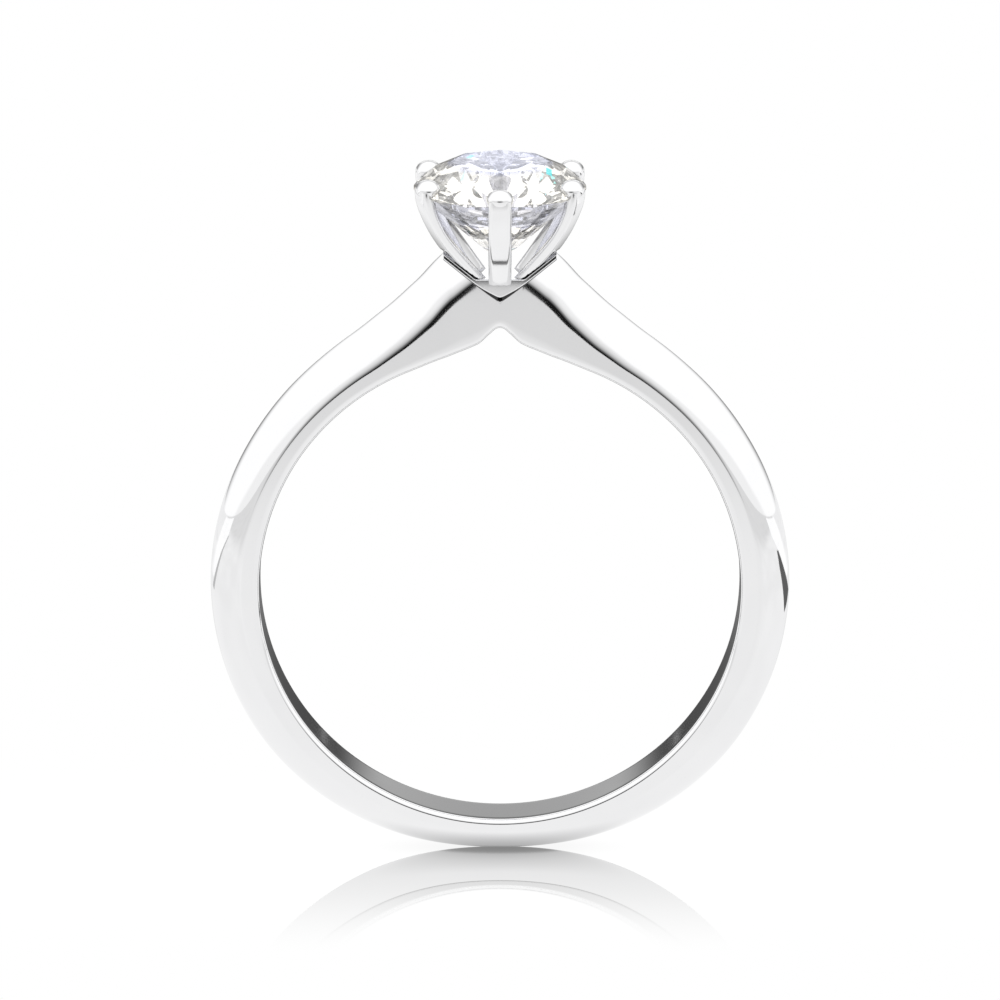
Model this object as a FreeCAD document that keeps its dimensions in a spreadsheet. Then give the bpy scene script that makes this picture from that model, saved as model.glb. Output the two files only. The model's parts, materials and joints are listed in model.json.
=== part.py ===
import FreeCAD, Part
import math
import os

import Sketcher
from FreeCAD import Placement, Rotation, Vector

# Six-claw solitaire engagement ring, millimetres, +Z up.
# The origin is the centre of the finger hole; the finger runs along Y; the stone is on top.

SIZES = [
    ("finger_radius", 8.46, "radius of the finger hole, ring size US 6 1/2"),
    ("blank_inner", 8.40, "inner radius of the shank blank before boring"),
    ("rim_round", 0.2, "round on the two edges of the finger hole"),
    ("notch_top", 9.41, "top of the pointed notch above the finger hole"),
    ("notch_half", 3.2, "half width of the notch where it leaves the bore"),
    ("saddle_bottom", 10.41, "height of the bottom of the V saddle"),
    ("saddle_slope", 0.823, "rise of each saddle arm per millimetre outwards"),
    ("saddle_reach", 5.0, "half width of the saddle cutter"),
    ("peg_radius", 0.4, "radius of the locating peg under the head base"),
    ("peg_bottom", 9.75, "height of the bottom of the peg"),
    ("base_reach", 1.98, "how far each arm of the head base reaches from the middle"),
    ("base_rise", 0.45, "upright thickness of the arms of the head base"),
    ("base_top", 11.24, "height of the flat between the arms of the head base"),
    ("base_width", 2.0, "width of the head base along the finger"),
    ("claw_width", 0.80, "width of a claw"),
    ("claw_round", 0.12, "round along the long edges of a claw"),
    ("stone_radius", 3.0, "girdle radius of the stone"),
    ("girdle_bottom", 14.26, "height of the lower girdle edge"),
    ("girdle_top", 14.38, "height of the upper girdle edge"),
    ("table_height", 15.24, "height of the table"),
    ("table_radius", 1.71, "radius of the corners of the table"),
    ("star_radius", 2.40, "radius of the tips of the star facets"),
    ("culet_height", 11.70, "height of the culet"),
    ("lower_half_radius", 0.69, "radius where the lower halves end"),
]

# Stations round one side of the shank: angle above +X, radius of the crest,
# half width along the finger, and how deep the rounded back of the section is.
STATIONS = [
    (-90, 9.79, 1.03, 0.95),
    (-62, 10.02, 1.02, 1.00),
    (-32, 10.19, 1.00, 1.05),
    (0, 10.19, 0.96, 1.10),
    (28, 10.19, 0.92, 1.15),
    (48, 10.27, 0.88, 1.25),
    (60, 10.42, 0.86, 1.35),
    (68, 10.75, 0.84, 1.45),
    (75, 11.35, 0.82, 1.55),
    (81, 12.17, 0.80, 1.60),
    (90, 13.00, 0.80, 1.60),
]

CLAWS = [
    ("claw_front", -90),
    ("claw_front_right", -30),
    ("claw_back_right", 30),
    ("claw_back", 90),
    ("claw_back_left", 150),
    ("claw_front_left", 210),
]

# Claw outline in its own radial plane (distance from the head axis, height).
CLAW_OUTER = [(1.25, 11.06), (2.09, 12.13), (2.77, 13.10), (3.10, 13.75), (3.26, 14.45)]
CLAW_TIP = (2.88, 14.92)
CLAW_INNER = [(2.50, 14.50), (2.60, 14.05), (2.34, 13.10), (1.66, 12.13), (0.80, 11.06)]

QUARTER = 0.35  # handle length of the curves that draw the back of the shank; 0.55 would be an ellipse

doc = FreeCAD.newDocument("solitaire_ring")
sheet = doc.addObject("Spreadsheet::Sheet", "sizes")


def fill_sheet():
    rows = list(SIZES)
    for index, (angle, crest, half, depth) in enumerate(STATIONS):
        rows.append(("crest_at_%d" % index, crest, "crest radius of the shank at %d degrees" % angle))
        rows.append(("half_at_%d" % index, half, "half width of the shank at %d degrees" % angle))
    for row, (alias, value, note) in enumerate(rows, start=1):
        sheet.set("A%d" % row, note)
        sheet.set("B%d" % row, str(value))
        sheet.setAlias("B%d" % row, alias)
    doc.recompute()


def size(alias):
    return float(sheet.get(alias))


def origin_plane(body, role):
    return next(item for item in body.Origin.OriginFeatures if item.Role == role)


def new_body(name):
    body = doc.addObject("PartDesign::Body", name)
    body.Label = name
    return body


def new_sketch(body, name, role, offset=None):
    sketch = body.newObject("Sketcher::SketchObject", name)
    sketch.AttachmentSupport = [(origin_plane(body, role), "")]
    sketch.MapMode = "FlatFace"
    if offset is not None:
        sketch.AttachmentOffset = offset
    return sketch


def closed_outline(sketch, curves):
    """Adds the curves end to end and ties each end to the next start; returns the indexes."""
    ids = [sketch.addGeometry(curve, False) for curve in curves]
    for here, after in zip(ids, ids[1:] + ids[:1]):
        sketch.addConstraint(Sketcher.Constraint("Coincident", here, 2, after, 1))
    return ids


def line(start, end):
    return Part.LineSegment(Vector(start[0], start[1], 0), Vector(end[0], end[1], 0))


def polygon(points):
    return [line(a, b) for a, b in zip(points, points[1:] + points[:1])]


def smooth(points):
    curve = Part.BSplineCurve()
    curve.interpolate([Vector(x, y, 0) for x, y in points])
    return curve


def handle_curve(points):
    curve = Part.BezierCurve()
    curve.setPoles([Vector(x, y, 0) for x, y in points])
    return curve.toBSpline()


def bind_point(sketch, kind, geo, end, value, formula, name):
    """Fixes one coordinate of a point to a formula of the sheet."""
    if kind == "DistanceX":
        index = sketch.addConstraint(Sketcher.Constraint("DistanceX", -1, 1, geo, end, value))
    else:
        index = sketch.addConstraint(Sketcher.Constraint("DistanceY", -1, 1, geo, end, value))
    sketch.renameConstraint(index, name)
    sketch.setExpression("Constraints." + name, formula)


def shank_section(body, name, station, angle):
    _, crest, half, depth = STATIONS[station]
    wall = crest - depth
    inner = size("blank_inner")
    turn = Placement(Vector(0, 0, 0), Rotation(Vector(1, 0, 0), 90 - angle))
    sketch = new_sketch(body, name, "YZ_Plane", turn)
    right = [
        (half, wall),
        (half, wall + QUARTER * depth),
        (QUARTER * half, crest),
        (0, crest),
    ]
    left = [(-x, y) for x, y in reversed(right)]
    edge = size("rim_round")
    hole = size("finger_radius")
    corner = [
        (half - 1.5 * edge, inner),
        (half - 0.5 * edge, hole),
        (half, hole + 0.4 * edge),
        (half, hole + 1.2 * edge),
    ]
    other_corner = [(-x, y) for x, y in reversed(corner)]
    ids = closed_outline(sketch, [
        line(other_corner[-1], corner[0]),
        handle_curve(corner),
        line(corner[-1], (half, wall)),
        handle_curve(right),
        handle_curve(left),
        line((-half, wall), other_corner[0]),
        handle_curve(other_corner),
    ])
    bind_point(sketch, "DistanceX", ids[2], 2, half, "sizes.half_at_%d" % station, "half_width")
    bind_point(sketch, "DistanceY", ids[0], 2, inner, "sizes.blank_inner", "inside")
    bind_point(sketch, "DistanceY", ids[3], 2, crest, "sizes.crest_at_%d" % station, "crest")
    return sketch


def pocket_through(body, sketch, name):
    pocket = body.newObject("PartDesign::Pocket", name)
    pocket.Profile = sketch
    pocket.Type = "ThroughAll"
    pocket.Midplane = True
    return pocket


def make_shank():
    body = new_body("shank")
    last = len(STATIONS) - 1
    around = [(i, STATIONS[i][0]) for i in range(last, -1, -1)]
    around += [(i, -180 - STATIONS[i][0]) for i in range(1, last)]
    sections = [
        shank_section(body, "section_%02d" % n, station, angle)
        for n, (station, angle) in enumerate(around)
    ]
    loft = body.newObject("PartDesign::AdditiveLoft", "band")
    loft.Profile = sections[0]
    loft.Sections = sections[1:]
    loft.Closed = True
    doc.recompute()
    full = body.Shape.Volume

    bore = new_sketch(body, "bore_circle", "XZ_Plane")
    bore.addGeometry(Part.Circle(Vector(0, 0, 0), Vector(0, 0, 1), size("finger_radius")), False)
    bore.addConstraint(Sketcher.Constraint("Coincident", 0, 3, -1, 1))
    radius = bore.addConstraint(Sketcher.Constraint("Radius", 0, size("finger_radius")))
    bore.setExpression("Constraints[%d]" % radius, "sizes.finger_radius")
    pocket_through(body, bore, "finger_hole")
    doc.recompute()
    bored = body.Shape.Volume

    half, top = size("notch_half"), size("notch_top")
    foot = math.sqrt(size("finger_radius") ** 2 - half ** 2)
    side = [(half, foot), (1.96, 8.33), (0.98, 8.72), (0.45, 9.09), (0, top)]
    notch = new_sketch(body, "notch_outline", "XZ_Plane")
    ids = closed_outline(notch, [
        smooth(side),
        smooth([(-x, z) for x, z in reversed(side)]),
        line((-half, foot), (0, foot - 1)),
        line((0, foot - 1), (half, foot)),
    ])
    bind_point(notch, "DistanceX", ids[0], 1, half, "sizes.notch_half", "notch_half_width")
    bind_point(notch, "DistanceY", ids[0], 2, top, "sizes.notch_top", "notch_height")
    pocket_through(body, notch, "notch")
    doc.recompute()

    low, slope, reach = size("saddle_bottom"), size("saddle_slope"), size("saddle_reach")
    saddle = new_sketch(body, "saddle_outline", "XZ_Plane")
    arm_height = low + slope * reach
    ids = closed_outline(saddle, polygon([(0, low), (reach, arm_height), (-reach, arm_height)]))
    arm = "sizes.saddle_bottom + sizes.saddle_slope * sizes.saddle_reach"
    bind_point(saddle, "DistanceX", ids[0], 2, reach, "sizes.saddle_reach", "right_end")
    bind_point(saddle, "DistanceX", ids[1], 2, -reach, "-sizes.saddle_reach", "left_end")
    bind_point(saddle, "DistanceY", ids[0], 1, low, "sizes.saddle_bottom", "bottom")
    bind_point(saddle, "DistanceY", ids[0], 2, low + slope * reach, arm, "right_height")
    bind_point(saddle, "DistanceY", ids[1], 2, low + slope * reach, arm, "left_height")
    pocket_through(body, saddle, "saddle")
    doc.recompute()
    saddled = body.Shape.Volume

    peg = new_sketch(body, "peg_hole_circle", "XY_Plane")
    peg.addGeometry(Part.Circle(Vector(0, 0, 0), Vector(0, 0, 1), size("peg_radius")), False)
    peg.addConstraint(Sketcher.Constraint("Coincident", 0, 3, -1, 1))
    radius = peg.addConstraint(Sketcher.Constraint("Radius", 0, size("peg_radius")))
    peg.setExpression("Constraints[%d]" % radius, "sizes.peg_radius")
    peg.setExpression("AttachmentOffset.Base.z", "sizes.peg_bottom")
    hole = body.newObject("PartDesign::Pocket", "peg_hole")
    hole.Profile = peg
    hole.Length = 3
    hole.Reversed = True
    doc.recompute()
    drilled = body.Shape.Volume
    if not full > bored > saddled > drilled:
        raise RuntimeError("a cut in the shank removed nothing")
    return body


def revolved(body, name, points, kind="PartDesign::Revolution"):
    """Outline (radius, height) turned once round the head axis."""
    sketch = new_sketch(body, name + "_outline", "XZ_Plane")
    ids = closed_outline(sketch, polygon(points))
    turned = body.newObject(kind, name)
    turned.Profile = sketch
    turned.ReferenceAxis = (sketch, ["V_Axis"])
    turned.Angle = 360
    return sketch, ids


def make_head_base():
    body = new_body("head_base")
    low, slope, rise = size("saddle_bottom"), size("saddle_slope"), size("base_rise")
    reach, top = size("base_reach"), size("base_top")
    flat = (top - low - rise) / slope
    sketch = new_sketch(body, "base_outline", "XZ_Plane")
    right = [(0, low), (reach, low + slope * reach), (reach, low + slope * reach + rise), (flat, top)]
    left = [(-x, z) for x, z in reversed(right[1:])]
    ids = closed_outline(sketch, polygon(right + left))
    end = "sizes.saddle_bottom + sizes.saddle_slope * sizes.base_reach"
    run = "(sizes.base_top - sizes.saddle_bottom - sizes.base_rise) / sizes.saddle_slope"
    bind_point(sketch, "DistanceY", ids[0], 1, low, "sizes.saddle_bottom", "bottom")
    corners = [
        (1, reach, "sizes.base_reach", low + slope * reach, end),
        (2, reach, "sizes.base_reach", low + slope * reach + rise, end + " + sizes.base_rise"),
        (3, flat, run, top, "sizes.base_top"),
        (4, -flat, "-(" + run + ")", top, "sizes.base_top"),
        (5, -reach, "-sizes.base_reach", low + slope * reach + rise, end + " + sizes.base_rise"),
        (6, -reach, "-sizes.base_reach", low + slope * reach, end),
    ]
    for corner, x, x_formula, z, z_formula in corners:
        bind_point(sketch, "DistanceX", ids[corner - 1], 2, x, x_formula, "x_of_corner_%d" % corner)
        bind_point(sketch, "DistanceY", ids[corner - 1], 2, z, z_formula, "z_of_corner_%d" % corner)
    plate = body.newObject("PartDesign::Pad", "base_plate")
    plate.Profile = sketch
    plate.Midplane = True
    plate.setExpression("Length", "sizes.base_width")

    peg = new_sketch(body, "peg_circle", "XY_Plane")
    peg.addGeometry(Part.Circle(Vector(0, 0, 0), Vector(0, 0, 1), size("peg_radius")), False)
    peg.addConstraint(Sketcher.Constraint("Coincident", 0, 3, -1, 1))
    radius = peg.addConstraint(Sketcher.Constraint("Radius", 0, size("peg_radius")))
    peg.setExpression("Constraints[%d]" % radius, "sizes.peg_radius")
    peg.setExpression("AttachmentOffset.Base.z", "sizes.peg_bottom")
    post = body.newObject("PartDesign::Pad", "peg")
    post.Profile = peg
    post.setExpression("Length", "sizes.base_top - sizes.peg_bottom")
    doc.recompute()
    return body


def claw_blank(name):
    body = new_body(name + "_wire")
    outline = new_sketch(body, name + "_outline", "XZ_Plane")
    closed_outline(outline, [
        smooth(CLAW_OUTER),
        smooth([CLAW_OUTER[-1], CLAW_TIP, CLAW_INNER[0]]),
        smooth(CLAW_INNER),
        line(CLAW_INNER[-1], CLAW_OUTER[0]),
    ])
    pad = body.newObject("PartDesign::Pad", name + "_pad")
    pad.Profile = outline
    pad.Midplane = True
    pad.setExpression("Length", "sizes.claw_width")
    doc.recompute()

    # The edges that start at the inner corner of the foot stay sharp.
    foot = CLAW_INNER[-1]
    long_edges = []
    for index, edge in enumerate(body.Shape.Edges, start=1):
        middle = edge.valueAt(0.5 * (edge.FirstParameter + edge.LastParameter))
        on_face = abs(abs(middle.y) - size("claw_width") / 2) < 1e-4
        at_foot = any(math.hypot(v.X - foot[0], v.Z - foot[1]) < 1e-3 for v in edge.Vertexes)
        if on_face and not at_foot:
            long_edges.append("Edge%d" % index)
    fillet = body.newObject("PartDesign::Fillet", name + "_rounding")
    fillet.Base = (pad, long_edges)
    fillet.setExpression("Radius", "sizes.claw_round")
    body.Tip = fillet
    doc.recompute()
    return body


def cut_seat(body, name):
    """The bearing cut that takes the girdle, turned round the head axis."""
    radius, low, high = size("stone_radius"), size("girdle_bottom"), size("girdle_top")
    pavilion = (low - size("culet_height")) / radius
    crown = (size("table_height") - high) / (radius - size("table_radius"))
    reach = radius - 1
    before = body.Shape.Volume
    revolved(body, name + "_seat", [
        (reach, low - pavilion * (radius - reach)),
        (radius, low),
        (radius, high),
        (reach, high + crown * (radius - reach)),
    ], "PartDesign::Groove")
    doc.recompute()
    if before - body.Shape.Volume < 0.001:
        raise RuntimeError("the seat of %s removed nothing" % name)


def make_foot_cutter():
    """Block up to the top of the arms of the head base; it trims the feet of the four side claws."""
    body = new_body("foot_cutter")
    low, reach = size("saddle_bottom") + size("base_rise"), size("saddle_reach")
    arm, depth = low + size("saddle_slope") * reach, low - 3
    sketch = new_sketch(body, "foot_cutter_outline", "XZ_Plane")
    outline = [(0, low), (reach, arm), (reach, depth), (-reach, depth), (-reach, arm)]
    ids = closed_outline(sketch, polygon(outline))
    bind_point(sketch, "DistanceY", ids[0], 1, low, "sizes.saddle_bottom + sizes.base_rise", "bottom")
    block = body.newObject("PartDesign::Pad", "foot_block")
    block.Profile = sketch
    block.Midplane = True
    block.Length = 10
    doc.recompute()
    return body


def make_claw(name, azimuth, trimmers):
    body = claw_blank(name)
    cut_seat(body, name)
    body.Placement = Placement(Vector(0, 0, 0), Rotation(Vector(0, 0, 1), azimuth))
    blank = body
    for tool in trimmers[:-1]:
        fitted = doc.addObject("Part::Cut", name + "_on_base")
        fitted.Base = blank
        fitted.Tool = tool
        blank = fitted
    seated = doc.addObject("Part::Cut", name)
    seated.Base = blank
    seated.Tool = trimmers[-1]
    seated.Label = name
    doc.recompute()
    return seated


def slice_off(solid, points):
    """Cuts away everything on the far side of the plane through three points, seen from the axis."""
    a, b, c = points
    normal = (b - a).cross(c - a)
    normal.normalize()
    inside = Vector(0, 0, 0.5 * (size("girdle_bottom") + size("girdle_top")))
    if normal.dot(a - inside) < 0:
        normal = normal * -1
    box = Part.makeBox(20, 20, 10, Vector(-10, -10, 0))
    box.Placement = Placement(a, Rotation(Vector(0, 0, 1), normal)).multiply(box.Placement)
    return solid.cut(box)


def at(radius, degrees, height):
    turn = math.radians(degrees)
    return Vector(radius * math.cos(turn), radius * math.sin(turn), height)


def make_stone():
    radius, low, high = size("stone_radius"), size("girdle_bottom"), size("girdle_top")
    top, table, star = size("table_height"), size("table_radius"), size("star_radius")
    culet, lower = size("culet_height"), size("lower_half_radius")
    half = math.cos(math.radians(22.5))
    star_height = top - (star * half - table) * (top - high) / (radius - table)
    lower_height = culet + lower * half * (low - culet) / radius
    solid = Part.makeCylinder(radius, top - culet, Vector(0, 0, culet))
    for k in range(8):
        turn = 45 * k
        corner, point = at(table, turn, top), at(radius, turn, high)
        star_tip = at(star, turn + 22.5, star_height)
        other_tip = at(star, turn - 22.5, star_height)
        solid = slice_off(solid, (corner, point, star_tip))
        solid = slice_off(solid, (corner, at(table, turn + 45, top), star_tip))
        solid = slice_off(solid, (star_tip, point, at(radius, turn + 22.5, high)))
        solid = slice_off(solid, (other_tip, point, at(radius, turn - 22.5, high)))
        bottom, under = at(0, 0, culet), at(radius, turn, low)
        solid = slice_off(solid, (bottom, under, at(lower, turn + 22.5, lower_height)))
        for side in (22.5, -22.5):
            lower_tip = at(lower, turn + side, lower_height)
            solid = slice_off(solid, (lower_tip, under, at(radius, turn + side, low)))
    stone = doc.addObject("Part::Feature", "stone")
    stone.Label = "stone"
    stone.Shape = solid
    return stone


def check_and_write(parts):
    for item in doc.Objects:
        if "Invalid" in item.State or "Error" in item.State:
            raise RuntimeError("%s did not compute" % item.Label)
    os.makedirs("parts", exist_ok=True)
    for part in parts:
        shape = part.Shape
        if shape.isNull() or not shape.isValid() or len(shape.Solids) != 1:
            raise RuntimeError("%s is not one valid solid" % part.Label)
        print("%-18s volume %8.3f mm3" % (part.Label, shape.Volume))
        shape.exportStep("parts/%s.step" % part.Label)


fill_sheet()
shank = make_shank()
head_base = make_head_base()
foot_cutter = make_foot_cutter()
claws = []
for name, azimuth in CLAWS:
    trimmers = [head_base, shank] if azimuth in (-90, 90) else [foot_cutter]
    claws.append(make_claw(name, azimuth, trimmers))
stone = make_stone()
doc.recompute()
check_and_write([shank, head_base] + claws + [stone])
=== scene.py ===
import json
import math

import bpy
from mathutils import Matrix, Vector


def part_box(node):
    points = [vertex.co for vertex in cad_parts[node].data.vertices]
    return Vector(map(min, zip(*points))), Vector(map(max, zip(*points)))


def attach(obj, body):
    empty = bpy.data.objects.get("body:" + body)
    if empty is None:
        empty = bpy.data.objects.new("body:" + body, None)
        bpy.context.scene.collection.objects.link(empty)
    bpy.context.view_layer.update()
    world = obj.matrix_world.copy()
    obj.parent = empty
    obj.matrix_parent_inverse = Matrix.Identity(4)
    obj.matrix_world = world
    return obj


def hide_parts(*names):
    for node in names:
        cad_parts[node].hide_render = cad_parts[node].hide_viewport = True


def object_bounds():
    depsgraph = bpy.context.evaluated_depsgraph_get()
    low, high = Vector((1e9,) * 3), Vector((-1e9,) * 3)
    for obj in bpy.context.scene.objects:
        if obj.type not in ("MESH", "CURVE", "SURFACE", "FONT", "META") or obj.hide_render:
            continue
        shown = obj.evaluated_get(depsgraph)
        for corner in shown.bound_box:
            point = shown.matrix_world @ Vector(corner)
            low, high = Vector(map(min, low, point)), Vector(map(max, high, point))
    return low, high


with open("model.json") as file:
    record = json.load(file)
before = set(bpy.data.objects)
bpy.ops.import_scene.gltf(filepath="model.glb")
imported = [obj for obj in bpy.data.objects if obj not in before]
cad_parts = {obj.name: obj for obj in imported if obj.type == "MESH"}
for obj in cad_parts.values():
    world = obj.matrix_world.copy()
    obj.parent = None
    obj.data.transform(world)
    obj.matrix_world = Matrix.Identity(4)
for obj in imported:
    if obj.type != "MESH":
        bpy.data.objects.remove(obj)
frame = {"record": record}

SIZE_AT_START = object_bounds()
MM = 0.001


def packed(metres):
    """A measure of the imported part, in millimetres."""
    return round(metres / MM, 2)


# ---------------------------------------------------------------- shank, millimetres
FINGER_RADIUS = frame["record"]["mounts"][0]["dims"]["r_mm"]
FLOOR_HEIGHT = packed(SIZE_AT_START[0][2])
SADDLE_BOTTOM = 10.41
SADDLE_SLOPE = 0.823
SADDLE_LEAST = 0.05  # flatter cuts than this never reach the band
OUT_OF_REACH = 1000.0
NOTCH_SIDE = [(3.2, 7.83), (1.96, 8.33), (1.26, 8.61), (0.75, 8.84),
              (0.36, 9.19), (0.12, 9.39), (0.0, 9.42)]

# angle above +X, crest radius, half width, depth of the rounded back
STATIONS = [
    (-90, 9.79, 1.03, 0.95),
    (-62, 10.02, 1.02, 1.00),
    (-32, 10.19, 1.00, 1.05),
    (0, 10.19, 0.96, 1.10),
    (28, 10.19, 0.92, 1.15),
    (48, 10.27, 0.88, 1.25),
    (60, 10.42, 0.86, 1.35),
    (68, 10.75, 0.84, 1.45),
    (75, 11.35, 0.82, 1.55),
    (81, 12.17, 0.80, 1.60),
    (90, 13.00, 0.80, 1.60),
]
BACK_POWER = 1.5  # 2 would be an ellipse; less gives a flatter back with a soft edge
RIM_ROUND = 0.22
SADDLE_ROUND = 0.07
SADDLE_INSET = 0.98  # the saddle starts this share of the way out, so it never folds over the edge
HAIR = 0.01
BORE_FACING = -0.93  # how squarely a face must look at the ring's axis to count as bore
BORE_LIMIT = 8.6

BAND_STEPS = 720
INSIDE_STEPS = 8
RIM_STEPS = 8
SIDE_STEPS = 6
BACK_STEPS = 40
SADDLE_ROUND_STEPS = 6
SADDLE_STEPS = 12

# ---------------------------------------------------------------- head, millimetres
CLAW_AZIMUTHS = {
    "claw_front": -90,
    "claw_front_right": -30,
    "claw_back_right": 30,
    "claw_back": 90,
    "claw_back_left": 150,
    "claw_front_left": 210,
}
# distance from the stone's axis and height, from the foot to the tip
CLAW_OUTER = [(0.72, 10.70), (1.42, 11.42), (2.09, 12.13), (2.52, 12.70),
              (2.82, 13.20), (3.08, 13.75), (3.22, 14.20), (3.25, 14.55)]
CLAW_INNER = [(0.60, 11.10), (1.12, 11.66), (1.70, 12.32), (2.14, 12.84),
              (2.43, 13.30), (2.66, 13.80), (2.74, 14.20), (2.76, 14.55)]
CLAW_HALF_WIDTH = packed(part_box("claw_front")[1].x)
CLAW_CORNER = 0.17
CLAW_STEPS = 90
CLAW_CORNER_POINTS = 7
FOOT_HEIGHT = 11.05
TIP_CENTRE = (2.88, 14.58)
TIP_RADII = (0.44, 0.47, 0.34)
TIP_TURNS = 40
TIP_LEVELS = 24

BASE_REACH = packed(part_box("head_base")[1].x)
BASE_RISE = 0.22
BASE_HALF_WIDTH = 0.98
BASE_TOP = 11.24
BASE_SHELF = 0.3
BASE_STEPS = 24
BASE_BEVEL = 0.05
BASE_BEVEL_STEPS = 3
V_ROUND = 0.12
RECESS_MIDDLE = 0.20
RECESS_SIDE = 0.05
RECESS_SPREAD = 0.55
RECESS_SLANT = 0.8

# ---------------------------------------------------------------- stone, millimetres
STONE_LOW, STONE_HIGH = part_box("stone")
STONE_RADIUS = packed(STONE_HIGH.x)
TABLE_HEIGHT = packed(STONE_HIGH.z)
CULET_HEIGHT = packed(STONE_LOW.z)
GIRDLE_BOTTOM = 14.26
GIRDLE_TOP = 14.38
GIRDLE_STEPS = 6
TABLE_RADIUS = 1.71
STAR_RADIUS = 2.40
LOWER_HALF_RADIUS = 0.69
MAIN_FACETS = 8
FACET_TURN = 360 / MAIN_FACETS
HALF_TURN = FACET_TURN / 2

# ---------------------------------------------------------------- metal and stone surfaces
WHITE = (1, 1, 1, 1)
SHARP_ANGLE = 24
BEVEL_ANGLE = 25
POLISHED_TONE, POLISHED_ROUGH = 0.80, 0.035
CLAW_TONE, CLAW_ROUGH = 0.82, 0.09
# painted shade: the inside of the band is the same white gold, given a much darker tone for its shade
BORE_SHADE_TONE, BORE_ROUGH = 0.14, 0.10
# painted shade: near-black tone for the plate's cut-back lower faces, standing in for the shadow in the gap
# under the V
RECESS_SHADE_TONE = 0.03
GRAIN_SCALE = 900.0
GRAIN_DETAIL = 4.0
GRAIN_ROUGH = (0.7, 1.4)  # share of the metal's roughness at the ends of the grain
GRAIN_TINTS = ((1.0, 1.0, 1.005), (0.97, 0.97, 0.98))  # share of its tone at the same ends
# painted shade: ambient occlusion darkens the metal towards a near-black colour in crevices and joints
CREVICE_SHADE_REACH = 0.20
CREVICE_SHADE_DARK = 0.30
CREVICE_SHADE_CLEAR = 0.72
CREVICE_SHADE_LEVEL = 0.25
CREVICE_SHADE_COLOUR = (0.02, 0.02, 0.02, 1)
CREVICE_SHADE_SAMPLES = 8

DIAMOND_IOR = 2.42
BODY_TINT = (1.0, 0.992, 0.975, 1)
TABLE_TINT = (0.86, 0.88, 1.0, 1)
TABLE_FADE = (0.12, 0.02)  # below the table, where the body's tint turns into the table's
# painted sparkle: cells inside the stone glow softly, standing in for light caught in it
PAINTED_SPARKLE_SCALE = 3600.0
PAINTED_SPARKLE_CELLS = (0.3, 0.9)
PAINTED_SPARKLE_GLOW = (0.0, 0.15)
# painted glint: one small patch of the crown glows cyan, a painted coloured flash
FLASH_CENTRE = (1.70, -0.92)
FLASH_SIZE = (0.10, 0.26)
FLASH_EDGE = (0.9, 1.05)
FLASH_SHARE = 0.9
FLASH_LOWEST = GIRDLE_TOP + 0.1
PAINTED_FLASH_COLOUR = (0.22, 0.92, 0.95, 1)

# ---------------------------------------------------------------- floor, millimetres
FLOOR_REACH = 3000.0
FLOOR_ROUGH = 0.006
FLOOR_SHADOW = 0.6
MIRROR_TONE = 0.80
MIRROR_SHARE = 0.72
MIRROR_REACH = 12.0
SHADOW_LENGTH = 5.5
SHADOW_WIDTH = 1.7
SHADOW_LEVEL = 0.45

# ---------------------------------------------------------------- reflection cards, millimetres
TABLE_OUTLINE = (2000, -2000, 2000)  # half width, nearest and farthest edge
TABLE_START = (-75, -38)
TABLE_LEVELS = (0.88, 1.07)
REAR_OUTLINE = (150, 5, 400)
REAR_START = (8, 22)
REAR_SIDE = (-15, 20)
REAR_TAPER = 0.45
REAR_LEVEL = 0.16
VIEWER_DISTANCE = 83.0
VIEWER_HALF_WIDTH = 90
VIEWER_TOP = 60
VIEWER_HEIGHT = (5, 44)
VIEWER_SIDE = (10, 46)
VIEWER_LEVEL = 0.012
SIDE_CARD = [(45, 15), (88, -3), (150, -38), (900, -330), (900, 400), (60, 400), (38, 40)]
SIDE_LEVEL = 1.27
SIDE_END = (18, 34)
EDGE_LEFT = [(38, 18), (88, -3), (150, -38), (150, -44), (88, -8), (38, 13)]
EDGE_LEFT_LEVEL = 0.62
EDGE_RIGHT = [(30, 24), (60, 9), (88, -3), (88, -9), (60, -2), (30, 10)]
EDGE_RIGHT_LEVEL = 0.14
# how far each card lies under the floor
TABLE_DEPTH, REAR_DEPTH, SIDE_DEPTH, EDGE_DEPTH = 0.05, 0.04, 0.03, 0.02
CARD_GRAIN_SCALE = 40.0
CARD_GRAIN_SPAN = (0.3, 0.7)
CARD_GRAIN_LEVELS = (0.97, 1.03)

# ---------------------------------------------------------------- sky, degrees
# azimuth from the viewer's side and top of the grey wall; the first two are the ends of the curve
GREY_WALL = [(0, 12), (180, -28), (36, 11), (45, 9.7), (56, 5.2), (63, 3), (70, 0), (90, -8)]
GREY_WALL_RANGE = 60
GREY_WALL_EDGE = (-2.5, 2.0)
GREY_WALL_SHADE = 0.13
SKY_HEIGHTS = (20, 70)
SKY_LEVELS = (1.27, 1.35)
REAR_SKY_SIDE = (115, 150)
REAR_SKY_HEIGHT = (2, 10)
REAR_SKY_SHADE = 0.86
CORNER_SIDE = (100, 140)
CORNER_HEIGHT = (6, 52)
CORNER_SHADE = 0.78
OPENING_SIDE = (158, 165)  # straight behind the ring the corner shade opens, up to OPENING_TOP
OPENING_TOP = (20.5, 23)

# ---------------------------------------------------------------- camera, millimetres
CAMERA_PLACE = (0, -289.9, 84.76)
CAMERA_PITCH = 15.749  # degrees below the horizontal
CAMERA_LENS = 308.5
CAMERA_SENSOR = 36.0
CAMERA_NEAR, CAMERA_FAR = 10.0, 20000.0


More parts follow.
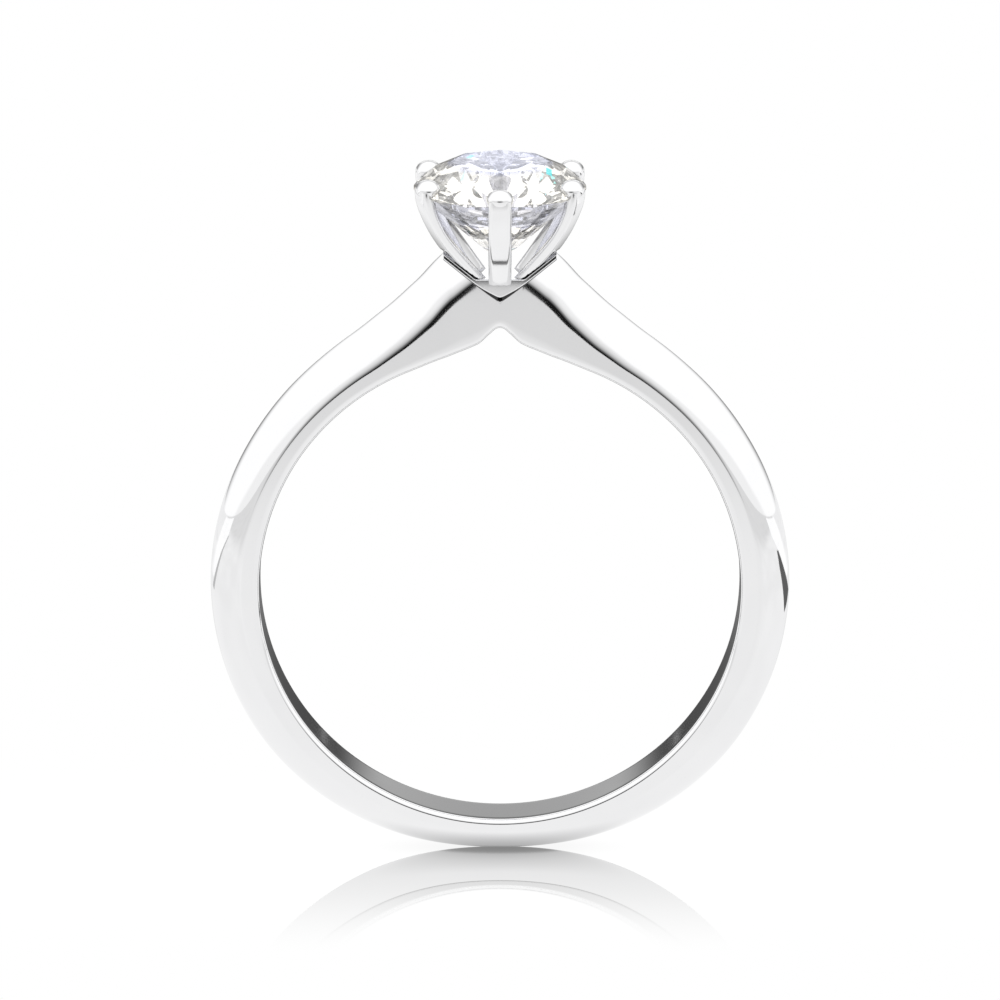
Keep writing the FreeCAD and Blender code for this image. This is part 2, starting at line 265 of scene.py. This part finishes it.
# ---------------------------------------------------------------- curves and meshes
def smooth_value(keys, x):
    """Monotone cubic through (x, value) pairs with flat ends."""
    if x <= keys[0][0]:
        return keys[0][1]
    if x >= keys[-1][0]:
        return keys[-1][1]
    count = len(keys)
    steps = [(keys[i + 1][1] - keys[i][1]) / (keys[i + 1][0] - keys[i][0]) for i in range(count - 1)]
    slopes = [0.0] * count
    for i in range(1, count - 1):
        if steps[i - 1] * steps[i] > 0:
            slopes[i] = 2 * steps[i - 1] * steps[i] / (steps[i - 1] + steps[i])
    i = next(k for k in range(count - 1) if x <= keys[k + 1][0])
    width = keys[i + 1][0] - keys[i][0]
    u = (x - keys[i][0]) / width
    from_here = (1 + 2 * u) * (1 - u) ** 2 * keys[i][1] + u * (1 - u) ** 2 * width * slopes[i]
    from_next = u * u * (3 - 2 * u) * keys[i + 1][1] + u * u * (u - 1) * width * slopes[i + 1]
    return from_here + from_next


def along(points, t):
    """Point on a smooth curve through points, t from 0 to 1."""
    last = len(points) - 1
    x = min(max(t, 0), 1) * last
    i = min(int(x), last - 1)
    u = x - i
    near = [points[min(max(k, 0), last)] for k in (i - 1, i, i + 1, i + 2)]
    return [0.5 * (2 * b + (c - a) * u + (2 * a - 5 * b + 4 * c - d) * u * u
                   + (3 * b - a - 3 * c + d) * u ** 3)
            for a, b, c, d in zip(*near)]


def arc(cu, cv, radius, start, end, count):
    """Points of a circle arc in the section plane, end point left out."""
    points = []
    for i in range(count):
        a = math.radians(start + (end - start) * i / count)
        points.append((cu + radius * math.cos(a), cv + radius * math.sin(a)))
    return points


def run(a, b, count):
    """Points of a straight line, end point left out."""
    return [(a[0] + (b[0] - a[0]) * i / count, a[1] + (b[1] - a[1]) * i / count) for i in range(count)]


def in_metres(points):
    return [tuple(c * MM for c in point) for point in points]


def skin(rings, size, closed=False, flip=False):
    """Quads between neighbouring rings of size vertices each."""
    faces = []
    for i in range(rings if closed else rings - 1):
        here, after = i * size, (i + 1) % rings * size
        for k in range(size):
            m = (k + 1) % size
            near, far = (here + k, here + m), (after + k, after + m)
            faces.append((near[0], near[1], far[1], far[0]) if flip else (near[0], far[0], far[1], near[1]))
    return faces


def join_meshes(*parts):
    verts, faces = [], []
    for more_verts, more_faces in parts:
        start = len(verts)
        verts += more_verts
        faces += [tuple(start + k for k in face) for face in more_faces]
    return verts, faces


# ---------------------------------------------------------------- shank
CREST_KEYS, HALF_KEYS, DEPTH_KEYS = ([(row[0], row[column]) for row in STATIONS] for column in (1, 2, 3))
NOTCH_KEYS = [(math.degrees(math.atan2(z, x)), math.hypot(x, z)) for x, z in NOTCH_SIDE]


def inner_radius(angle):
    return FINGER_RADIUS if angle <= NOTCH_KEYS[0][0] else smooth_value(NOTCH_KEYS, angle)


def saddle_radius(angle):
    """How far out the V saddle cuts the shank; far beyond it where the V is steeper than the angle."""
    a = math.radians(angle)
    down = math.sin(a) - SADDLE_SLOPE * abs(math.cos(a))
    return SADDLE_BOTTOM / down if down > SADDLE_LEAST else OUT_OF_REACH


def back_points(half, wall, crest, top):
    """Rounded back from the side wall to the crest, or to the saddle where that lies lower."""
    rise = crest - wall
    limit = math.asin(min(1, (top - wall) / rise) ** (BACK_POWER / 2))
    points = []
    for i in range(BACK_STEPS):
        t = limit * (i / BACK_STEPS)
        points.append((half * math.cos(t) ** (2 / BACK_POWER),
                       wall + rise * math.sin(t) ** (2 / BACK_POWER)))
    flat_steps = SADDLE_ROUND_STEPS + SADDLE_STEPS
    if top < crest:
        return points + run((points[-1][0] * SADDLE_INSET, top), (0, top), flat_steps)
    return points + [(half * math.cos(limit) ** (2 / BACK_POWER), top)] * flat_steps


def half_section(angle):
    """Right half of the shank section, from the middle of the inside to the crest."""
    inner = inner_radius(angle)
    crest = smooth_value(CREST_KEYS, angle)
    half = smooth_value(HALF_KEYS, angle)
    rim = inner + RIM_ROUND
    wall = max(crest - smooth_value(DEPTH_KEYS, angle), rim + 2 * HAIR)
    top = min(crest, saddle_radius(angle))
    points = run((0, inner), (half - RIM_ROUND, inner), INSIDE_STEPS)
    points += arc(half - RIM_ROUND, rim, RIM_ROUND, -90, 0, RIM_STEPS)
    if top < wall:
        edge = top - SADDLE_ROUND
        points += run((half, rim), (half, edge - HAIR), SIDE_STEPS)
        points += run((half, edge - HAIR), (half, edge), BACK_STEPS)
        points += arc(half - SADDLE_ROUND, edge, SADDLE_ROUND, 0, 90, SADDLE_ROUND_STEPS)
        points += run((points[-1][0] * SADDLE_INSET, top), (0, top), SADDLE_STEPS)
    else:
        points += run((half, rim), (half, wall), SIDE_STEPS)
        points += back_points(half, wall, crest, top)
    points.append((0, top))
    return points


def shank_mesh():
    verts = []
    for i in range(BAND_STEPS):
        angle = -90 + 360 * i / BAND_STEPS
        half = half_section(angle if angle <= 90 else 180 - angle)
        ring = half + [(-u, v) for u, v in reversed(half[1:-1])]
        a = math.radians(angle)
        verts += [(v * math.cos(a), u, v * math.sin(a)) for u, v in ring]
    return in_metres(verts), skin(BAND_STEPS, len(verts) // BAND_STEPS, closed=True)


# ---------------------------------------------------------------- claws and their base plate
def turned(out, across, azimuth):
    """Place in plan of a point given outwards and across a claw."""
    a = math.radians(azimuth)
    return out * math.cos(a) - across * math.sin(a), out * math.sin(a) + across * math.cos(a)


def rounded_box(half_u, half_v, corner, count):
    """Closed outline of a rectangle with round corners."""
    points = []
    for side_u, side_v, start in ((1, 1, 0), (-1, 1, 90), (-1, -1, 180), (1, -1, 270)):
        for i in range(count):
            a = math.radians(start + 90 * i / (count - 1))
            points.append((side_u * (half_u - corner) + corner * math.cos(a),
                           side_v * (half_v - corner) + corner * math.sin(a)))
    return points


def claw_mesh(azimuth):
    """One claw wire, its foot trimmed to the plate or, in front and behind, level."""
    stands_on_arm = abs(math.cos(math.radians(azimuth))) > 0.5
    verts = []
    for i in range(CLAW_STEPS + 1):
        outer, inner = along(CLAW_OUTER, i / CLAW_STEPS), along(CLAW_INNER, i / CLAW_STEPS)
        thick = math.dist(outer, inner)
        out, up = (outer[0] - inner[0]) / thick, (outer[1] - inner[1]) / thick
        for u, v in rounded_box(thick / 2, CLAW_HALF_WIDTH, CLAW_CORNER, CLAW_CORNER_POINTS):
            x, y = turned((outer[0] + inner[0]) / 2 + out * u, v, azimuth)
            z = (outer[1] + inner[1]) / 2 + up * u
            lowest = SADDLE_BOTTOM + BASE_RISE + SADDLE_SLOPE * abs(x) if stands_on_arm else FOOT_HEIGHT
            verts.append((x, y, max(z, lowest)))
    count = 4 * CLAW_CORNER_POINTS
    faces = skin(CLAW_STEPS + 1, count, flip=True)
    faces.append(tuple(range(count))[::-1])
    faces.append(tuple(CLAW_STEPS * count + k for k in range(count)))
    return in_metres(verts), faces


def tip_mesh(azimuth):
    """Rounded bead that folds over the girdle at the top of a claw."""
    verts = []
    for j in range(TIP_LEVELS + 1):
        b = math.radians(-90 + 180 * j / TIP_LEVELS)
        for i in range(TIP_TURNS):
            c = math.radians(360 * i / TIP_TURNS)
            out = TIP_CENTRE[0] + TIP_RADII[0] * math.cos(b) * math.cos(c)
            across = TIP_RADII[1] * math.cos(b) * math.sin(c)
            verts.append((*turned(out, across, azimuth), TIP_CENTRE[1] + TIP_RADII[2] * math.sin(b)))
    return in_metres(verts), skin(TIP_LEVELS + 1, TIP_TURNS, flip=True)


def base_mesh():
    """V-shaped plate lying in the saddle. Its lower edges are cut back, and those faces carry painted
    shade: they are flagged for a near-black copy of the metal.
    """
    flat = (BASE_TOP - SADDLE_BOTTOM - BASE_RISE) / SADDLE_SLOPE
    front = BASE_HALF_WIDTH
    verts = []
    for i in range(-BASE_STEPS, BASE_STEPS + 1):
        x = BASE_REACH * i / BASE_STEPS
        under = SADDLE_BOTTOM + SADDLE_SLOPE * math.sqrt(x * x + V_ROUND ** 2) - SADDLE_SLOPE * V_ROUND
        over = max(BASE_TOP, under + BASE_RISE) if abs(x) < flat + BASE_SHELF else under + BASE_RISE
        cut = RECESS_SIDE + (RECESS_MIDDLE - RECESS_SIDE) * math.exp(-(x / RECESS_SPREAD) ** 2)
        verts += [(x, -front, over), (x, -front, under + cut), (x, -front + RECESS_SLANT * cut, under),
                  (x, front - RECESS_SLANT * cut, under), (x, front, under + cut), (x, front, over)]
    size = 6
    slices = 2 * BASE_STEPS + 1
    faces = skin(slices, size)
    # faces of the cut-back edges, which take the painted shade
    dark = [k % size in (1, 3) for k in range(len(faces))]
    faces.append(tuple(range(size)))
    faces.append(tuple((slices - 1) * size + k for k in range(size))[::-1])
    return in_metres(verts), faces, dark + [False, False]


# ---------------------------------------------------------------- stone
def ring_point(radius, degrees, height):
    a = math.radians(degrees)
    return Vector((radius * math.cos(a), radius * math.sin(a), height))


def plane_height(points, x, y):
    """Height at x, y of the plane through three points."""
    a, b, c = points
    n = (b - a).cross(c - a)
    return a.z - (n.x * (x - a.x) + n.y * (y - a.y)) / n.z


def girdle_edge(facet, turn, side):
    """Scalloped line where a flat facet meets the round girdle."""
    edge = []
    for i in range(GIRDLE_STEPS + 1):
        p = ring_point(STONE_RADIUS, turn + HALF_TURN * side * i / GIRDLE_STEPS, 0)
        edge.append(Vector((p.x, p.y, plane_height(facet, p.x, p.y))))
    return edge


def stone_mesh():
    """Round brilliant: table, stars, kites and upper halves above, mains and lower halves below."""
    half = math.cos(math.radians(HALF_TURN))
    crown_slope = (TABLE_HEIGHT - GIRDLE_TOP) / (STONE_RADIUS - TABLE_RADIUS)
    star_height = TABLE_HEIGHT - (STAR_RADIUS * half - TABLE_RADIUS) * crown_slope
    pavilion_slope = (GIRDLE_BOTTOM - CULET_HEIGHT) / STONE_RADIUS
    low_height = CULET_HEIGHT + LOWER_HALF_RADIUS * half * pavilion_slope
    culet = ring_point(0, 0, CULET_HEIGHT)
    verts, faces = [], []

    def face(points):
        start = len(verts)
        verts.extend(tuple(p * MM) for p in points)
        faces.append(tuple(range(start, start + len(points))))

    face([ring_point(TABLE_RADIUS, FACET_TURN * k, TABLE_HEIGHT) for k in range(MAIN_FACETS)])
    for k in range(MAIN_FACETS):
        turn = FACET_TURN * k
        corner = ring_point(TABLE_RADIUS, turn, TABLE_HEIGHT)
        next_corner = ring_point(TABLE_RADIUS, turn + FACET_TURN, TABLE_HEIGHT)
        point = ring_point(STONE_RADIUS, turn, GIRDLE_TOP)
        under = ring_point(STONE_RADIUS, turn, GIRDLE_BOTTOM)
        tips = {s: ring_point(STAR_RADIUS, turn + HALF_TURN * s, star_height) for s in (1, -1)}
        lows = {s: ring_point(LOWER_HALF_RADIUS, turn + HALF_TURN * s, low_height) for s in (1, -1)}
        face([corner, tips[1], next_corner])
        face([corner, tips[-1], point, tips[1]])
        face([culet, lows[1], under, lows[-1]])
        for side in (1, -1):
            middle = ring_point(STONE_RADIUS, turn + HALF_TURN * side, GIRDLE_TOP)
            middle_low = ring_point(STONE_RADIUS, turn + HALF_TURN * side, GIRDLE_BOTTOM)
            upper = girdle_edge((tips[side], point, middle), turn, side)
            lower = girdle_edge((lows[side], under, middle_low), turn, side)
            crown = [tips[side]] + upper
            pavilion = [lows[side]] + lower
            face(crown if side > 0 else crown[::-1])
            face(pavilion[::-1] if side > 0 else pavilion)
            for i in range(GIRDLE_STEPS):
                quad = [lower[i], lower[i + 1], upper[i + 1], upper[i]]
                face(quad if side > 0 else quad[::-1])
    return verts, faces


# ---------------------------------------------------------------- shader building blocks
MIX_A, MIX_B, MIX_RESULT = 6, 7, 2  # the colour sockets of a Mix node


def new_material(name):
    material = bpy.data.materials.new(name)
    material.use_nodes = True
    tree = material.node_tree
    tree.nodes.clear()
    return material, tree, tree.nodes.new("ShaderNodeOutputMaterial")


def feed(tree, value, socket):
    """Give a socket a constant, or link another node's output to it."""
    if isinstance(value, (int, float, tuple)):
        socket.default_value = value
    else:
        tree.links.new(value, socket)


def math_node(tree, operation, *values):
    node = tree.nodes.new("ShaderNodeMath")
    node.operation = operation
    for value, socket in zip(values, node.inputs):
        feed(tree, value, socket)
    return node.outputs[0]


def times(tree, a, b):
    return math_node(tree, "MULTIPLY", a, b)


def ramp(tree, value, low, high, at_low, at_high):
    """Smooth step from one value to another."""
    node = tree.nodes.new("ShaderNodeMapRange")
    node.interpolation_type = "SMOOTHSTEP"
    node.inputs["From Min"].default_value = low
    node.inputs["From Max"].default_value = high
    node.inputs["To Min"].default_value = at_low
    node.inputs["To Max"].default_value = at_high
    tree.links.new(value, node.inputs["Value"])
    return node.outputs["Result"]


def turn_ramp(tree, angle, span, at_low, at_high):
    """The same over an angle, with the span in degrees."""
    return ramp(tree, angle, math.radians(span[0]), math.radians(span[1]), at_low, at_high)


def object_place(tree):
    """The object coordinates, and their three parts in millimetres."""
    coords = tree.nodes.new("ShaderNodeTexCoord").outputs["Object"]
    split = tree.nodes.new("ShaderNodeSeparateXYZ")
    tree.links.new(coords, split.inputs["Vector"])
    return coords, [math_node(tree, "DIVIDE", split.outputs[k], MM) for k in "XYZ"]


def noise(tree, coords, scale, detail=2.0):
    node = tree.nodes.new("ShaderNodeTexNoise")
    node.inputs["Scale"].default_value = scale
    node.inputs["Detail"].default_value = detail
    tree.links.new(coords, node.inputs["Vector"])
    return node.outputs["Fac"]


def colour_mix(tree, factor, first, second):
    node = tree.nodes.new("ShaderNodeMix")
    node.data_type = "RGBA"
    feed(tree, factor, node.inputs["Factor"])
    feed(tree, first, node.inputs[MIX_A])
    feed(tree, second, node.inputs[MIX_B])
    return node.outputs[MIX_RESULT]


def shader_mix(tree, factor, first, second):
    node = tree.nodes.new("ShaderNodeMixShader")
    feed(tree, factor, node.inputs["Fac"])
    tree.links.new(first, node.inputs[1])
    tree.links.new(second, node.inputs[2])
    return node.outputs["Shader"]


def emission(tree, colour, strength):
    node = tree.nodes.new("ShaderNodeEmission")
    feed(tree, colour, node.inputs["Color"])
    feed(tree, strength, node.inputs["Strength"])
    return node.outputs["Emission"]


# ---------------------------------------------------------------- materials
def metal_material(name, tone, rough=POLISHED_ROUGH):
    """Polished metal with a fine roughness grain, and painted shade: its colour is darkened towards
    near-black in crevices by ambient occlusion.
    """
    material, tree, out = new_material(name)
    bsdf = tree.nodes.new("ShaderNodeBsdfPrincipled")
    bsdf.inputs["Metallic"].default_value = 1.0
    grain = noise(tree, tree.nodes.new("ShaderNodeTexCoord").outputs["Object"], GRAIN_SCALE, GRAIN_DETAIL)
    rough_map = tree.nodes.new("ShaderNodeMapRange")
    rough_map.inputs["To Min"].default_value = rough * GRAIN_ROUGH[0]
    rough_map.inputs["To Max"].default_value = rough * GRAIN_ROUGH[1]
    tree.links.new(grain, rough_map.inputs["Value"])
    tree.links.new(rough_map.outputs["Result"], bsdf.inputs["Roughness"])
    tint = colour_mix(tree, grain, *((*(tone * share for share in tint), 1) for tint in GRAIN_TINTS))
    # painted shade: the metal's colour goes near-black where ambient occlusion finds a crevice
    crevice_occlusion = tree.nodes.new("ShaderNodeAmbientOcclusion")
    crevice_occlusion.samples = CREVICE_SHADE_SAMPLES
    crevice_occlusion.inputs["Distance"].default_value = CREVICE_SHADE_REACH * MM
    shade = ramp(tree, crevice_occlusion.outputs["AO"], CREVICE_SHADE_DARK, CREVICE_SHADE_CLEAR, CREVICE_SHADE_LEVEL, 1.0)
    tree.links.new(colour_mix(tree, shade, CREVICE_SHADE_COLOUR, tint), bsdf.inputs["Base Color"])
    tree.links.new(bsdf.outputs["BSDF"], out.inputs["Surface"])
    return material


def painted_flash_patch(tree, x, y, z):
    """Share of the painted coloured flash, a painted glint: one small patch of the crown."""
    across = math_node(tree, "DIVIDE", math_node(tree, "SUBTRACT", x, FLASH_CENTRE[0]), FLASH_SIZE[0])
    deep = math_node(tree, "DIVIDE", math_node(tree, "SUBTRACT", y, FLASH_CENTRE[1]), FLASH_SIZE[1])
    reach = math_node(tree, "MAXIMUM", math_node(tree, "ABSOLUTE", across),
                      math_node(tree, "ABSOLUTE", deep))
    crown = math_node(tree, "GREATER_THAN", z, FLASH_LOWEST)
    return times(tree, crown, ramp(tree, reach, *FLASH_EDGE, FLASH_SHARE, 0.0))


def stone_material():
    """Clear diamond, lavender at the table, with painted light: a soft glow in cells as painted sparkle,
    and a painted coloured flash.
    """
    material, tree, out = new_material("diamond")
    coords, (x, y, z) = object_place(tree)
    table = ramp(tree, z, TABLE_HEIGHT - TABLE_FADE[0], TABLE_HEIGHT - TABLE_FADE[1], 0.0, 1.0)
    tint = colour_mix(tree, table, BODY_TINT, TABLE_TINT)
    glass = tree.nodes.new("ShaderNodeBsdfGlass")
    glass.inputs["IOR"].default_value = DIAMOND_IOR
    glass.inputs["Roughness"].default_value = 0.0
    tree.links.new(tint, glass.inputs["Color"])
    # painted sparkle: a soft glow in cells, added to the glass
    cells = tree.nodes.new("ShaderNodeTexVoronoi")
    cells.inputs["Scale"].default_value = PAINTED_SPARKLE_SCALE
    tree.links.new(coords, cells.inputs["Vector"])
    parts = tree.nodes.new("ShaderNodeSeparateColor")
    tree.links.new(cells.outputs["Color"], parts.inputs["Color"])
    glow = emission(tree, tint, ramp(tree, parts.outputs["Red"], *PAINTED_SPARKLE_CELLS, *PAINTED_SPARKLE_GLOW))
    both = tree.nodes.new("ShaderNodeAddShader")
    tree.links.new(glass.outputs["BSDF"], both.inputs[0])
    tree.links.new(glow, both.inputs[1])
    # painted glint: cyan glow on one patch of the crown
    flash = emission(tree, PAINTED_FLASH_COLOUR, 1.0)
    painted_fire = shader_mix(tree, painted_flash_patch(tree, x, y, z), both.outputs["Shader"], flash)
    tree.links.new(painted_fire, out.inputs["Surface"])
    return material


def contact_shadow(tree, x, y, level):
    """Brightness of the floor around the line where the ring rests on it."""
    across = math_node(tree, "DIVIDE", x, SHADOW_LENGTH)
    deep = math_node(tree, "DIVIDE", y, SHADOW_WIDTH)
    squares = math_node(tree, "ADD", times(tree, across, across), times(tree, deep, deep))
    return ramp(tree, math_node(tree, "SQRT", squares), 0.0, 1.0, level, 1.0)


def floor_material():
    """Glowing white acrylic: mirrors the ring close to it and carries a soft contact shadow."""
    material, tree, out = new_material("white_acrylic")
    _, (x, y, _) = object_place(tree)
    glow = emission(tree, WHITE, contact_shadow(tree, x, y, FLOOR_SHADOW))
    gloss = tree.nodes.new("ShaderNodeBsdfGlossy")
    gloss.inputs["Roughness"].default_value = FLOOR_ROUGH
    gloss.inputs["Color"].default_value = (MIRROR_TONE, MIRROR_TONE, MIRROR_TONE, 1)
    fade = ramp(tree, math_node(tree, "ABSOLUTE", y), 0.0, MIRROR_REACH, MIRROR_SHARE, 0.0)
    tree.links.new(shader_mix(tree, fade, glow, gloss.outputs["BSDF"]), out.inputs["Surface"])
    return material


# ---------------------------------------------------------------- reflection cards
def glow_card(name, corners, shade):
    """Flat card that only the metal's reflections see; shade(tree, x, y, z) gives (cover, level)."""
    material, tree, out = new_material(name)
    coords, place = object_place(tree)
    cover, level = shade(tree, *place)
    wobble = ramp(tree, noise(tree, coords, CARD_GRAIN_SCALE), *CARD_GRAIN_SPAN, *CARD_GRAIN_LEVELS)
    glow = emission(tree, WHITE, times(tree, wobble, level))
    clear = tree.nodes.new("ShaderNodeBsdfTransparent").outputs["BSDF"]
    tree.links.new(shader_mix(tree, cover, clear, glow), out.inputs["Surface"])
    mesh = bpy.data.meshes.new(name)
    mesh.from_pydata(in_metres(corners), [], [tuple(range(len(corners)))])
    mesh.materials.append(material)
    card = bpy.data.objects.new(name, mesh)
    bpy.context.scene.collection.objects.link(card)
    card.visible_camera = False
    card.visible_transmission = False
    card.visible_shadow = False
    card.visible_diffuse = False


def floor_card(name, outline, depth, shade):
    """Card lying a little under the floor."""
    glow_card(name, [(x, y, FLOOR_HEIGHT - depth) for x, y in outline], shade)


def rectangle(half_width, near, far):
    return [(-half_width, near), (half_width, near), (half_width, far), (-half_width, far)]


def mirrored(outline):
    return [(-x, y) for x, y in outline]


def table_shade(tree, x, y, z):
    front = ramp(tree, y, *TABLE_START, *TABLE_LEVELS)
    return 1.0, times(tree, contact_shadow(tree, x, y, SHADOW_LEVEL), front)


def rear_shade(tree, x, y, z):
    near = ramp(tree, y, *REAR_START, 0.0, 1.0)
    spread = math_node(tree, "SUBTRACT", math_node(tree, "ABSOLUTE", x), times(tree, y, REAR_TAPER))
    return times(tree, near, ramp(tree, spread, *REAR_SIDE, 1.0, 0.0)), REAR_LEVEL


def viewer_shade(tree, x, y, z):
    height = math_node(tree, "SUBTRACT", z, FLOOR_HEIGHT)
    low = ramp(tree, height, *VIEWER_HEIGHT, 1.0, 0.0)
    middle = ramp(tree, math_node(tree, "ABSOLUTE", x), *VIEWER_SIDE, 1.0, 0.0)
    return times(tree, low, middle), VIEWER_LEVEL


def side_shade(tree, x, y, z):
    return ramp(tree, y, *SIDE_END, 1.0, 0.0), SIDE_LEVEL


def even_shade(level):
    return lambda tree, x, y, z: (1.0, level)


def make_cards():
    """Layers just under the floor, and a dark card standing on the viewer's side."""
    floor_card("table_card", rectangle(*TABLE_OUTLINE), TABLE_DEPTH, table_shade)
    floor_card("rear_card", rectangle(*REAR_OUTLINE), REAR_DEPTH, rear_shade)
    low, high = FLOOR_HEIGHT, FLOOR_HEIGHT + VIEWER_TOP
    standing = [(x, -VIEWER_DISTANCE, z) for x, z in rectangle(VIEWER_HALF_WIDTH, low, high)]
    glow_card("viewer_card", standing, viewer_shade)
    floor_card("side_card_left", mirrored(SIDE_CARD), SIDE_DEPTH, side_shade)
    floor_card("side_card_right", SIDE_CARD, SIDE_DEPTH, side_shade)
    floor_card("edge_card_left", mirrored(EDGE_LEFT), EDGE_DEPTH, even_shade(EDGE_LEFT_LEVEL))
    floor_card("edge_card_right", EDGE_RIGHT, EDGE_DEPTH, even_shade(EDGE_RIGHT_LEVEL))


# ---------------------------------------------------------------- sky, floor and camera
def wall_top(tree, side):
    """Height of the grey wall's top edge at each angle away from the viewer's side."""
    edge = tree.nodes.new("ShaderNodeFloatCurve")
    points = edge.mapping.curves[0].points
    for k, (degrees, top) in enumerate(GREY_WALL):
        place = (degrees / 180, 0.5 + top / GREY_WALL_RANGE)
        if k < 2:
            points[k].location = place
        else:
            points.new(*place)
    edge.mapping.update()
    tree.links.new(math_node(tree, "DIVIDE", side, math.pi), edge.inputs["Value"])
    centred = math_node(tree, "SUBTRACT", edge.outputs["Value"], 0.5)
    return times(tree, centred, math.radians(GREY_WALL_RANGE))


def make_world():
    """White studio: bright overhead and sides, a grey wall on the viewer's side, darker behind."""
    world = bpy.data.worlds.new("studio")
    bpy.context.scene.world = world
    world.use_nodes = True
    tree = world.node_tree
    tree.nodes.clear()
    out = tree.nodes.new("ShaderNodeOutputWorld")
    back = tree.nodes.new("ShaderNodeBackground")
    coords = tree.nodes.new("ShaderNodeTexCoord")
    split = tree.nodes.new("ShaderNodeSeparateXYZ")
    tree.links.new(coords.outputs["Generated"], split.inputs["Vector"])
    x, y, z = (split.outputs[k] for k in "XYZ")
    height = math_node(tree, "ARCSINE", z)
    side = math_node(tree, "ABSOLUTE", math_node(tree, "ARCTAN2", x, times(tree, y, -1.0)))
    under = math_node(tree, "SUBTRACT", height, wall_top(tree, side))
    wall = turn_ramp(tree, under, GREY_WALL_EDGE, GREY_WALL_SHADE, 0.0)
    rear = times(tree, turn_ramp(tree, side, REAR_SKY_SIDE, 0.0, 1.0),
                 turn_ramp(tree, height, REAR_SKY_HEIGHT, REAR_SKY_SHADE, 0.0))
    closed = math_node(tree, "MAXIMUM", turn_ramp(tree, side, OPENING_SIDE, 1.0, 0.0),
                       turn_ramp(tree, height, OPENING_TOP, 0.0, 1.0))
    fade = times(tree, closed, turn_ramp(tree, height, CORNER_HEIGHT, CORNER_SHADE, 0.0))
    corner = times(tree, turn_ramp(tree, side, CORNER_SIDE, 0.0, 1.0), fade)
    shade = math_node(tree, "MAXIMUM", wall, math_node(tree, "MAXIMUM", rear, corner))
    light = turn_ramp(tree, height, SKY_HEIGHTS, *SKY_LEVELS)
    level = times(tree, light, math_node(tree, "SUBTRACT", 1.0, shade))
    tree.links.new(level, back.inputs["Strength"])
    back.inputs["Color"].default_value = WHITE
    tree.links.new(back.outputs["Background"], out.inputs["Surface"])


def make_floor():
    mesh = bpy.data.meshes.new("floor")
    outline = rectangle(FLOOR_REACH, -FLOOR_REACH, FLOOR_REACH)
    mesh.from_pydata(in_metres((x, y, FLOOR_HEIGHT) for x, y in outline), [], [(0, 1, 2, 3)])
    mesh.materials.append(floor_material())
    floor = bpy.data.objects.new("floor", mesh)
    bpy.context.scene.collection.objects.link(floor)
    floor.visible_glossy = False


def make_camera():
    data = bpy.data.cameras.new("camera")
    data.sensor_width = CAMERA_SENSOR
    data.lens = CAMERA_LENS
    data.clip_start = CAMERA_NEAR * MM
    data.clip_end = CAMERA_FAR * MM
    camera = bpy.data.objects.new("camera", data)
    camera.location = [c * MM for c in CAMERA_PLACE]
    camera.rotation_euler = (math.radians(90 - CAMERA_PITCH), 0, 0)
    bpy.context.scene.collection.objects.link(camera)
    bpy.context.scene.camera = camera


# ---------------------------------------------------------------- build
def add_piece(name, verts, faces, material, slot, replaced, smooth=True):
    mesh = bpy.data.meshes.new(name)
    mesh.from_pydata(verts, [], faces)
    mesh.validate()
    mesh.polygons.foreach_set("use_smooth", [smooth] * len(mesh.polygons))
    if smooth:
        mesh.set_sharp_from_angle(angle=math.radians(SHARP_ANGLE))
    mesh.materials.append(material)
    piece = bpy.data.objects.new(name, mesh)
    bpy.context.scene.collection.objects.link(piece)
    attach(piece, "root")
    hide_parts(replaced)
    return piece


def faces_the_finger(polygon):
    middle = polygon.center
    outwards = Vector((middle.x, 0, middle.z)).normalized()
    return polygon.normal.dot(outwards) < BORE_FACING and math.hypot(middle.x, middle.z) < BORE_LIMIT * MM


def build_shank(polished):
    band = add_piece("shank_polished", *shank_mesh(), polished, "white_gold", "shank")
    # painted shade: the faces looking at the finger take a darker copy of the white gold
    band.data.materials.append(metal_material("white_gold_inside", BORE_SHADE_TONE, BORE_ROUGH))
    for polygon in band.data.polygons:
        if faces_the_finger(polygon):
            polygon.material_index = 1


def build_claws():
    claw_metal = metal_material("white_gold_claw", CLAW_TONE, CLAW_ROUGH)
    for name, azimuth in CLAW_AZIMUTHS.items():
        verts, faces = join_meshes(claw_mesh(azimuth), tip_mesh(azimuth))
        add_piece(name + "_polished", verts, faces, claw_metal, "white_gold", name)


def build_base(polished):
    verts, faces, dark = base_mesh()
    plate = add_piece("head_base_polished", verts, faces, polished, "white_gold", "head_base")
    # painted shade: the cut-back lower faces take a near-black copy of the white gold
    plate.data.materials.append(metal_material("white_gold_recess", RECESS_SHADE_TONE))
    for polygon, in_recess_shade in zip(plate.data.polygons, dark):
        polygon.use_smooth = False
        polygon.material_index = 1 if in_recess_shade else 0
    bevel = plate.modifiers.new("soft_edges", "BEVEL")
    bevel.width = BASE_BEVEL * MM
    bevel.segments = BASE_BEVEL_STEPS
    bevel.limit_method = "ANGLE"
    bevel.angle_limit = math.radians(BEVEL_ANGLE)


bpy.context.scene.view_settings.view_transform = "Standard"
white_gold = metal_material("white_gold", POLISHED_TONE)
build_shank(white_gold)
build_claws()
build_base(white_gold)
add_piece("stone_cut", *stone_mesh(), stone_material(), "diamond", "stone", smooth=False)
make_floor()
make_cards()
make_world()
make_camera()
